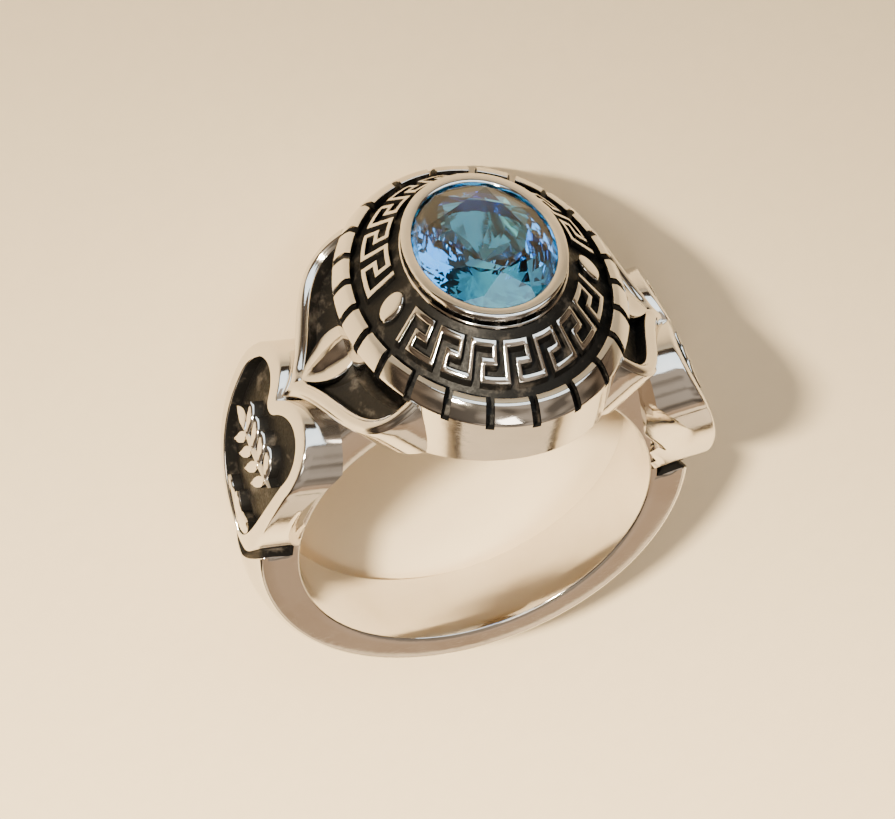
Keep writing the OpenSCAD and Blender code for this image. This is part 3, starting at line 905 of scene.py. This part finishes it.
# PANELS


def on_panel(a, v, w, lean, out, side):
    """Panel frame to the ring's: a along the finger, v up the panel, w out of it."""
    x = (out + w) * np.cos(lean) - v * np.sin(lean)
    z = (out + w) * np.sin(lean) + v * np.cos(lean)
    return np.stack(np.broadcast_arrays(side * x, a, z), -1)


def panel_shell(m, outer, inner, centre, top, ground, thick, crown, edge, lean, out, side):
    """Framed plate: rows from the middle of its underside, round its frame, to its ground.

    Both outlines hold a and v. The underside follows the flared hole, the frame's top is
    crowned by crown and its edges are rounded by edge.
    """

    def under(p):
        rho = hole_radius(m, p[:, 0], 1.0)
        return np.maximum(-thick, np.sqrt(np.clip(rho**2 - p[:, 1] ** 2, 0, None)) - out)

    span = np.linalg.norm(inner - outer, axis=1, keepdims=True)
    share = np.minimum(edge / span, 0.3)
    rows, paint = [], []

    def row(place, height, colour_to_next):
        rows.append(np.column_stack([place, height]))
        paint.append(colour_to_next)

    for q in (0, 0.3, 0.6, 0.8, 0.92, 1):
        place = mix(centre, outer, q)
        row(place, under(place), SILVER)
    base = under(outer)
    rim_low = top(outer) - crown - edge
    for q in (0.2, 0.5, 0.8, 1):
        row(outer, mix(base, np.maximum(rim_low, base), q), SILVER)
    for turn in np.radians([30, 60, 90]):
        place = mix(outer, inner, share * (1 - np.cos(turn)))
        row(place, top(place) - crown - edge + edge * np.sin(turn), SILVER)
    for q in (0.12, 0.3, 0.5, 0.7, 0.88):
        place = mix(outer, inner, mix(share, 1 - share, q))
        row(place, top(place) - crown * (2 * q - 1) ** 2, SILVER)
    for turn in np.radians([90, 60, 30, 0]):
        place = mix(outer, inner, 1 - share * (1 - np.cos(turn)))
        row(place, top(place) - crown - edge + edge * np.sin(turn), SILVER)
    paint[-1] = BLACK
    rim_low = top(inner) - crown - edge
    for q in (0.33, 0.67, 1):
        row(inner, mix(rim_low, ground(inner), q), BLACK)
    for q in (0.1, 0.3, 0.5, 0.7, 0.87, 1):
        place = mix(inner, centre, q)
        row(place, ground(place), BLACK)
    grid = np.array(rows)
    points = on_panel(grid[..., 0], grid[..., 1], grid[..., 2], lean, out, side)
    return shell(points, "pole", np.array(paint[:-1])[:, None])


# Angle where a lobe's arc passes into the heart's side.
LOBE_END = np.radians(-15)


def heart_side(m, t, rim=0.0, foot=0.0):
    """Side of the heart from lobe to tip: a curve on three points, by the share t.

    It is drawn inwards by rim at the lobe, which changes to foot at the tip.
    """
    t = np.asarray(t)[:, None]
    a = np.array([m.lobe_x + m.lobe_r * np.cos(LOBE_END), m.lobe_y + m.lobe_r * np.sin(LOBE_END)])
    b = np.array([0.43 * m.heart_w, m.heart_low + 0.21 * m.heart_h])
    c = np.array([m.tip_w, m.heart_low])
    run = (1 - t) * (b - a) + t * (c - b)
    return bend(a, b, c, t) - mix(rim, foot, t) * left_of(run)


def spread(path, count):
    """Points at even steps along a path."""
    along = np.concatenate([[0], np.cumsum(np.linalg.norm(np.diff(path, axis=0), axis=1))])
    places = np.linspace(0, along[-1], count)
    return np.stack([np.interp(places, along, path[:, k]) for k in (0, 1)], -1)


def heart_outline(m, rim=0.0, foot=0.0):
    """Closed heart: cleft, arc of the lobe, curved side, narrow tip, and the same mirrored.

    Drawn inwards, the cleft becomes an arc round its point and the sides meet above the tip.
    """
    cleft = np.array([0.0, m.cleft_y])
    into_lobe = np.arctan2(m.lobe_y - m.cleft_y, m.lobe_x)
    turn = np.linspace(-np.pi / 2, into_lobe, 8)
    notch = cleft + rim * np.stack([np.cos(turn), np.sin(turn)], -1)
    turn = np.linspace(np.pi + into_lobe, LOBE_END, 40)
    lobe = np.array([m.lobe_x, m.lobe_y]) + (m.lobe_r - rim) * np.stack([np.cos(turn), np.sin(turn)], -1)
    side = heart_side(m, np.linspace(0, 1, 60), rim, foot)
    if foot:
        past = np.argmax(side[:, 0] < 0)
        share = side[past - 1, 0] / (side[past - 1, 0] - side[past, 0])
        side = np.concatenate([side[:past], [mix(side[past - 1], side[past], share)]])
    else:
        side = np.concatenate([side, [[0.0, m.heart_low]]])
    upper = spread(np.concatenate([notch, lobe]), 44)
    lower = spread(side, 40)[1:]
    half = np.concatenate([upper, lower])
    half[[0, -1], 0] = 0
    return np.concatenate([half, half[-2:0:-1] * [-1, 1]])


def heart_top(m, depth):
    """The heart's face as a barrel: an arc across the panel carried round an arc from tip to cleft."""
    middle = m.cleft_y - m.heart_chord / 2

    def height(p):
        reach = m.bulge_r - depth - m.fall_r + np.sqrt(m.fall_r**2 - p[..., 0] ** 2)
        return m.heart_bulge - m.bulge_r + np.sqrt(reach**2 - (p[..., 1] - middle) ** 2)

    return height


def heart_plate(m, side):
    """Heart panel with its rim, side wall and blackened ground."""
    outer = heart_outline(m)
    inner = heart_outline(m, m.heart_rim, m.heart_foot)
    centre = np.array([0.0, m.heart_low + 0.5 * m.heart_h])
    top, ground = heart_top(m, 0), heart_top(m, m.heart_deep)
    return panel_shell(
        m, outer, inner, centre, top, ground, thick=m.heart_t, crown=0.03, edge=0.1,
        lean=m.heart_lean, out=m.heart_face, side=side,
    )


def leaflet(m, root, turn, long, wide, side):
    """Small raised leaf on a heart: a ridged section carried along its spine.

    The half width swells as a sine along the spine, and the section has a black side, a
    rounded shoulder and a faint crease along the middle.
    """
    share = np.linspace(0.0, 1.0, 17)
    half = wide / 2 * np.sin(np.pi * share) ** 0.8 + 0.015
    spine = np.array(root) + long * share[:, None] * [-np.sin(turn), np.cos(turn)]
    across = np.array([np.cos(turn), np.sin(turn)])
    section = np.array([
        # place across the leaf, share of the height
        [-1, -0.15], [-1, 0.78], [-0.82, 0.93], [-0.45, 1.0], [0, 0.93],
        [0.45, 1.0], [0.82, 0.93], [1, 0.78], [1, -0.15],
    ])
    place = spine[:, None] + half[:, None, None] * section[None, :, :1] * across
    low = heart_top(m, m.heart_deep)(place)
    high = heart_top(m, 0.12)(place)
    w = mix(low, high, section[:, 1])
    points = on_panel(place[..., 0], place[..., 1], w, m.heart_lean, m.heart_face, side)
    return shell(points, "cap", np.array([BLACK] + [SILVER] * 6 + [BLACK] * 2))


SPRIG = [
    # share of the stem, turn in degrees
    (0, 52), (0, -52), (0.28, 52), (0.28, -52), (0.56, 52), (0.56, -52), (0.84, 52), (0.84, -52), (0.94, 0),
]
SPRAY = (-38, 0, 38)


def heart_relief(m, side):
    """Laurel sprig laid across the heart, and three leaves that stand in the ground's lower end."""
    stem_l = 0.4 * m.heart_w
    start = np.array([-0.26 * m.heart_w, m.heart_low + 0.64 * m.heart_h])
    lying = np.radians(-90)
    made = [leaflet(m, start - [0.5, 0], lying, stem_l + 0.5, 0.34, side)]
    for share, turn in SPRIG:
        root = start + [share * stem_l, 0]
        made.append(leaflet(m, root, lying + np.radians(turn), 0.185 * m.heart_w, 0.07 * m.heart_w, side))
    for turn in SPRAY:
        root = (0.0, m.heart_low + 1.4 * m.heart_foot)
        made.append(leaflet(m, root, np.radians(turn), 0.23 * m.heart_h, 0.12 * m.heart_h, side))
    return made


def leaf_bend(m):
    """Point that a leaf panel's side leaves its tip towards."""
    return np.array([0.236 * m.leaf_w, 0.38 * m.leaf_l])


def wire_corner(m):
    """Height of the wire's inner corner above the leaf panel's point."""
    return m.wire_w / np.sin(np.arctan2(*leaf_bend(m)))


def leaf_outlines(m):
    """Leaf panel's outer outline and the outline of its ground, both closed through the crest.

    The side is a curve on four points from the tip to the crest.
    """
    t = np.linspace(0, 1, 44)[1:, None]
    b = leaf_bend(m)
    c = np.array([1.08 * m.leaf_w, 0.29 * m.leaf_l])
    d = np.array([0.975 * m.leaf_w, m.leaf_l])
    side = 3 * (1 - t) ** 2 * t * b + 3 * (1 - t) * t**2 * c + t**3 * d
    run = 3 * (1 - t) ** 2 * b + 6 * (1 - t) * t * (c - b) + 3 * t**2 * (d - c)
    drawn = side + m.wire_w * left_of(run)
    tip_in = wire_corner(m)
    drawn[:, 0] = np.maximum(drawn[:, 0], 0.35 * side[:, 0] * np.clip(drawn[:, 1] / tip_in - 1, 0, 1))
    drawn[:, 1] = np.maximum(drawn[:, 1], tip_in + 0.02 * np.arange(len(drawn)) / len(drawn))
    top = np.linspace(side[-1, 0], -side[-1, 0], 14)[1:-1]
    outer_top = np.stack([top, np.full_like(top, side[-1, 1])], -1)
    inner_top = outer_top * [drawn[-1, 0] / side[-1, 0], 1] - [0, 0.02]
    lift = np.array([0, m.leaf_tip])
    outer = np.concatenate([[[0, 0]], side, outer_top, side[::-1] * [-1, 1]]) + lift
    inner = np.concatenate([[[0, tip_in]], drawn, inner_top, drawn[::-1] * [-1, 1]]) + lift
    return outer, inner


def leaf_plate(m, side):
    """Leaf panel with its round wire, side wall and blackened ground."""
    outer, inner = leaf_outlines(m)
    centre = np.array([0.0, m.leaf_tip + 0.7 * m.leaf_l])

    def bead(p):
        return np.full(len(p), 0.14)

    def ground(p):
        return np.full(len(p), -m.leaf_deep)

    return panel_shell(
        m, outer, inner, centre, bead, ground, thick=m.leaf_t, crown=0.2, edge=0.08,
        lean=m.leaf_lean, out=m.leaf_face, side=side,
    )


def bud(m, side):
    """Folded bud: two hollow facets that meet in a ridge, carried from the wire's corner to the crest.

    The edges stay level with the wire, the ridge rises to the crest, and each facet sinks
    between them by a sine.
    """
    lap = 0.1
    share = np.linspace(0, 0.75, 28)
    half = m.bud_w * np.sin(np.pi * share) ** 0.75 + 0.02
    across = np.array([-1, -1, -0.95, -0.86, -0.7, -0.5, -0.3, -0.12, -0.04])
    across = np.concatenate([across, [0.0], -across[::-1]])
    fold = np.abs(across)
    ridge = mix(m.leaf_deep, m.bud_h, np.clip(share / 0.6, 0, 1))[:, None]
    hollow = 0.16 * np.clip(share / 0.3, 0, 1)[:, None]
    height = mix(ridge, m.leaf_deep, fold**0.8) - hollow * np.sin(np.pi * fold**1.3) - 0.12 * (fold == 1)
    height[:, [0, -1]] = -0.1
    v = m.leaf_tip + (wire_corner(m) - lap) + m.bud_l * share[:, None]
    a = half[:, None] * across
    points = on_panel(a, v, height - m.leaf_deep, m.leaf_lean, m.leaf_face, side)
    return shell(points, "cap", SILVER)


# OPERATORS


def cast(m, name, shells):
    """A piece of polished silver with black grounds."""
    return piece(m, name, shells, [polished_silver(m), black_ground(m)])


class PieceOperator:
    """What the operators below share: each one names what it builds from the sizes."""

    bl_options = {"REGISTER", "UNDO"}

    def execute(self, context):
        self.build(sizes())
        return {"FINISHED"}


class CLASSRING_OT_band(PieceOperator, bpy.types.Operator):
    """Builds the band with its two V grooves"""

    bl_idname = "class_ring.band"
    bl_label = "Band"

    def build(self, m):
        cast(m, "band", [band(m)])


class CLASSRING_OT_crest(PieceOperator, bpy.types.Operator):
    """Builds the crest with its notched rim, and hides the model's cast body"""

    bl_idname = "class_ring.crest"
    bl_label = "Crest"

    def build(self, m):
        made = cast(m, "crest", [head(m)])
        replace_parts(made, "ring_body")
        piece(m, "channel_ground", [channel_ground(m)], [black_ground(m)])


class CLASSRING_OT_ornament(PieceOperator, bpy.types.Operator):
    """Builds the key meander and the studs of the channel"""

    bl_idname = "class_ring.ornament"
    bl_label = "Channel ornament"

    def build(self, m):
        # each arc ends this far from a stud's middle
        room = np.radians(12)
        turn = m.stud_turn
        full = 2 * np.pi
        front = meander(m, m.keys_front, full - turn - room, np.pi + turn + room)
        back = meander(m, m.keys_back, np.pi - room + turn, room - turn)
        cast(m, "key_meander_front", [front])
        cast(m, "key_meander_back", [back])
        cast(m, "studs", [stud(m, -turn), stud(m, np.pi + turn)])


class CLASSRING_OT_cup(PieceOperator, bpy.types.Operator):
    """Builds the bezel cup and hides the cup of the model"""

    bl_idname = "class_ring.cup"
    bl_label = "Bezel cup"

    def build(self, m):
        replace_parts(piece(m, "collar", [collar(m)], [polished_silver(m)]), "bezel_cup")


class CLASSRING_OT_stone(PieceOperator, bpy.types.Operator):
    """Builds the faceted stone and hides the stone of the model"""

    bl_idname = "class_ring.stone"
    bl_label = "Stone"

    def build(self, m):
        made = piece(m, "cut_stone", [brilliant(m)], [blue_glass(m)], sharp=1)
        made.data.shade_flat()
        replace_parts(made, "stone")


class CLASSRING_OT_hearts(PieceOperator, bpy.types.Operator):
    """Builds the two heart panels and their raised leaves"""

    bl_idname = "class_ring.hearts"
    bl_label = "Heart panels"

    def build(self, m):
        for name, side in SIDES.items():
            cast(m, f"heart_{name}", [heart_plate(m, side)])
            cast(m, f"heart_leaves_{name}", heart_relief(m, side))


class CLASSRING_OT_leaves(PieceOperator, bpy.types.Operator):
    """Builds the two leaf panels and their folded buds"""

    bl_idname = "class_ring.leaves"
    bl_label = "Leaf panels"

    def build(self, m):
        for name, side in SIDES.items():
            cast(m, f"leaf_panel_{name}", [leaf_plate(m, side)])
            cast(m, f"bud_{name}", [bud(m, side)])


class CLASSRING_OT_stage(PieceOperator, bpy.types.Operator):
    """Builds the floor, the camera and the soft light"""

    bl_idname = "class_ring.stage"
    bl_label = "Stage"

    def build(self, m):
        floor_sheet(m)
        photo_camera(m)
        soft_light()


# STAGE


def floor_sheet(m):
    """Flat floor, large enough to fill every view."""
    reach = 1.5
    mesh = bpy.data.meshes.new("floor")
    corners = [(-reach, -reach, 0), (reach, -reach, 0), (reach, reach, 0), (-reach, reach, 0)]
    mesh.from_pydata(corners, [], [(0, 1, 2, 3)])
    mesh.materials.append(pale_floor(m))
    made = new_object("floor", mesh)


# Camera in the ring's own frame, in degrees, millimetres and the photo's pixels.
VIEW_AZIMUTH = np.radians(-21.122)
VIEW_ELEVATION = np.radians(48.623)
VIEW_ROLL = np.radians(4.363)
VIEW_DISTANCE = 180.0
VIEW_AIM = (-0.958, 1.941)
FOCAL_PIXELS = 3704.9
PHOTO_W = 895


def view_axes():
    """Right, up and backward directions of the camera in the ring's own frame."""
    cos_el = np.cos(VIEW_ELEVATION)
    back = np.array([np.sin(VIEW_AZIMUTH) * cos_el, -np.cos(VIEW_AZIMUTH) * cos_el, np.sin(VIEW_ELEVATION)])
    right = np.cross(-back, [0, 0, 1])
    right = right / np.linalg.norm(right)
    up = np.cross(right, -back)
    c, s = np.cos(VIEW_ROLL), np.sin(VIEW_ROLL)
    return c * right + s * up, c * up - s * right, back


def turned_to(right, up, back, place):
    """Matrix that turns an object to three directions and moves it to a place."""
    return Matrix([*np.column_stack([right, up, back, place]).tolist(), [0, 0, 0, 1]])


def photo_camera(m):
    """Camera at the photo's angle to the ring, which is above the floor for the lying ring."""
    right, up, back = view_axes()
    aim = np.array([0, 0, 3.0]) + VIEW_AIM[0] * right + VIEW_AIM[1] * up
    place = lie(m, aim + VIEW_DISTANCE * back)
    origin = lie(m, np.zeros(3))
    axes = [(lie(m, axis) - origin) / MM for axis in (right, up, back)]
    data = bpy.data.cameras.new("camera")
    data.sensor_width = 36
    data.lens = FOCAL_PIXELS * data.sensor_width / PHOTO_W
    data.clip_start = 0.005
    data.clip_end = 10
    camera = new_object("camera", data)
    camera.matrix_world = turned_to(*axes, place)
    bpy.context.scene.camera = camera


def lamp(name, kind, place, aim, power, tint, **settings):
    """Adds a lamp at a place and turns it towards its aim, in metres and watts."""
    data = bpy.data.lights.new(name, kind)
    data.energy = power
    data.color = tint
    for key, value in settings.items():
        setattr(data, key, value)
    back = np.array(place, float) - np.array(aim, float)
    back = back / np.linalg.norm(back)
    right = np.cross([0, 0, 1], back)
    right = right / np.linalg.norm(right)
    up = np.cross(back, right)
    new_object(name, data).matrix_world = turned_to(right, up, back, place)


CARDS = [
    # name, place in metres, width and height in metres, watts, tint
    ("cream card", (-0.1, 0.4, 0.077), (0.7, 0.1), 0.34, (1.0, 0.74, 0.44)),
    ("brown card", (-0.1, 0.4, 0.18), (0.7, 0.1), 0.1, (1.0, 0.64, 0.36)),
    ("cool card", (-0.06, -0.36, 0.22), (0.6, 0.28), 1.5, (0.8, 0.93, 1.0)),
    ("top card", (0.05, 0.02, 0.45), (0.12, 0.12), 0.4, (1.0, 0.9, 0.76)),
]


def soft_light():
    """Warm room light from the world, a warm key beam and four soft cards.

    The room is bright overhead, dim and brown near the horizon, and cream at the ring's
    back end, so that polished faces show light and dark beside each other.
    """
    world = bpy.data.worlds.new("room")
    bpy.context.scene.world = world
    world.use_nodes = True
    nodes = Nodes(world.node_tree)
    place = nodes.add("ShaderNodeTexCoord").outputs["Generated"]
    split = nodes.add("ShaderNodeSeparateXYZ", {0: place})
    height = nodes.ramp(split.outputs["Z"], 0.35, 0.8)
    above = nodes.blend(height, (0.17, 0.12, 0.08, 1), (0.46, 0.38, 0.3, 1))
    patches = nodes.ramp(nodes.noise(place, 2.3, 1), 0.45, 0.6, 0.35, 1.25)
    background = nodes.add("ShaderNodeBackground", {"Color": above, "Strength": patches})
    nodes.add("ShaderNodeOutputWorld", {"Surface": background.outputs[0]})
    middle = (0, 0, 0.005)
    beam_aim = (-0.02, 0.136, 0)
    lamp(
        "key", "SPOT", (0.38, -0.3, 0.42), beam_aim, 100, (1.0, 0.87, 0.66),
        shadow_soft_size=0.04, spot_size=2 * np.radians(10), spot_blend=0.15,
    )
    for name, place, (wide, high), power, tint in CARDS:
        lamp(name, "AREA", place, middle, power, tint, shape="RECTANGLE", size=wide, size_y=high)


PIECES = ("band", "crest", "ornament", "cup", "stone", "hearts", "leaves", "stage")


class CLASSRING_PT_panel(bpy.types.Panel):
    """Lists the ring's pieces and sizes"""

    bl_idname = "CLASSRING_PT_panel"
    bl_label = "Class ring"
    bl_space_type = "VIEW_3D"
    bl_region_type = "UI"
    bl_category = "Class ring"

    def draw(self, context):
        for name in PIECES:
            self.layout.operator(f"class_ring.{name}")
        for group in GROUPS:
            held = getattr(context.scene, group)
            box = self.layout.box()
            box.label(text=held.__doc__ or group)
            for key in held.bl_rna.properties.keys():
                if key not in ("rna_type", "name"):
                    box.prop(held, key)


CLASSES = (
    *GROUPS.values(),
    CLASSRING_OT_band,
    CLASSRING_OT_crest,
    CLASSRING_OT_ornament,
    CLASSRING_OT_cup,
    CLASSRING_OT_stone,
    CLASSRING_OT_hearts,
    CLASSRING_OT_leaves,
    CLASSRING_OT_stage,
    CLASSRING_PT_panel,
)


def register():
    for cls in CLASSES:
        bpy.utils.register_class(cls)
    for name, cls in GROUPS.items():
        setattr(bpy.types.Scene, name, PointerProperty(type=cls))


def unregister():
    for name in GROUPS:
        delattr(bpy.types.Scene, name)
    for cls in reversed(CLASSES):
        bpy.utils.unregister_class(cls)


def main():
    register()
    for name in PIECES:
        getattr(bpy.ops.class_ring, name)()


if __name__ == "__main__":
    main()
